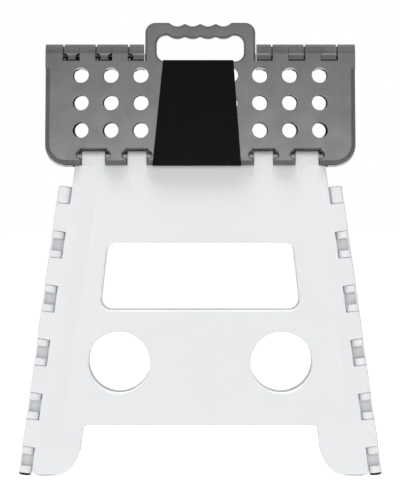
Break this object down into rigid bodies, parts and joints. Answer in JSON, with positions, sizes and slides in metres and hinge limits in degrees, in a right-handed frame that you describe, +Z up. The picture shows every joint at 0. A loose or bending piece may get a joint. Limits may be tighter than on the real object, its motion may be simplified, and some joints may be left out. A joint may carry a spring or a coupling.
{
  "type": "folding step stool",
  "caption": "Folding plastic step stool shown folded flat: two slotted leg panels, a perforated step in two hinged halves with a carry handle, and gusset side panels.",
  "frame": {"origin": "on the floor under the middle of the folded stool", "axes": "+X to the right seen from the front, +Y from the front leg to the back leg, +Z up"},
  "size_m": [0.3476, 0.0591, 0.4319],
  "materials": {
    "leg_plastic": "satin moulded polypropylene, white",
    "step_plastic": "fine matt texture, mid grey",
    "pad_rubber": "matt black",
    "card": "printed card, plain black, satin"
  },
  "bodies": {
    "front_leg": {"front_leg": "leg_plastic", "leg_pad_front_left": "pad_rubber", "leg_pad_front_right": "pad_rubber"},
    "top_front": {"top_front": "step_plastic", "card_sleeve": "card"},
    "top_back": {"top_back": "step_plastic"},
    "back_leg": {"back_leg": "leg_plastic", "leg_pad_back_left": "pad_rubber", "leg_pad_back_right": "pad_rubber"},
    "side_left_front": {"side_left_front": "leg_plastic", "side_pad_front_left": "pad_rubber"},
    "side_left_back": {"side_left_back": "leg_plastic", "side_pad_back_left": "pad_rubber"},
    "side_right_front": {"side_right_front": "leg_plastic", "side_pad_front_right": "pad_rubber"},
    "side_right_back": {"side_right_back": "leg_plastic", "side_pad_back_right": "pad_rubber"}
  },
  "joints": [
    {"name": "step_fold", "type": "hinge", "parent": "front_leg", "child": "top_front", "pos_m": [0, -0.01702, 0.304], "axis": [-1, 0, 0], "range_deg": [0, 80]},
    {"name": "middle_hinge", "type": "hinge", "parent": "top_front", "child": "top_back", "pos_m": [0, 0, 0.40051], "axis": [1, 0, 0], "range_deg": [0, 160]},
    {"name": "back_leg_hinge", "type": "hinge", "parent": "top_back", "child": "back_leg", "pos_m": [0, 0.01702, 0.304], "axis": [-1, 0, 0], "range_deg": [0, 80]},
    {"name": "side_left_front_hinge", "type": "hinge", "parent": "front_leg", "child": "side_left_front", "pos_m": [-0.12841, -0.01702, 0.2753], "axis": [0.1426, 0, 0.9898], "range_deg": [0, 80]},
    {"name": "side_left_back_hinge", "type": "hinge", "parent": "back_leg", "child": "side_left_back", "pos_m": [-0.12841, 0.01702, 0.2753], "axis": [-0.1426, 0, -0.9898], "range_deg": [0, 80]},
    {"name": "side_right_front_hinge", "type": "hinge", "parent": "front_leg", "child": "side_right_front", "pos_m": [0.12841, -0.01702, 0.2753], "axis": [0.1426, 0, -0.9898], "range_deg": [0, 80]},
    {"name": "side_right_back_hinge", "type": "hinge", "parent": "back_leg", "child": "side_right_back", "pos_m": [0.12841, 0.01702, 0.2753], "axis": [-0.1426, 0, 0.9898], "range_deg": [0, 80]}
  ],
  "couplings": [
    {"joint": "middle_hinge", "follows": "step_fold", "ratio": 2},
    {"joint": "back_leg_hinge", "follows": "step_fold", "ratio": 1},
    {"joint": "side_left_front_hinge", "follows": "step_fold", "ratio": 1},
    {"joint": "side_left_back_hinge", "follows": "step_fold", "ratio": 1},
    {"joint": "side_right_front_hinge", "follows": "step_fold", "ratio": 1},
    {"joint": "side_right_back_hinge", "follows": "step_fold", "ratio": 1}
  ]
}
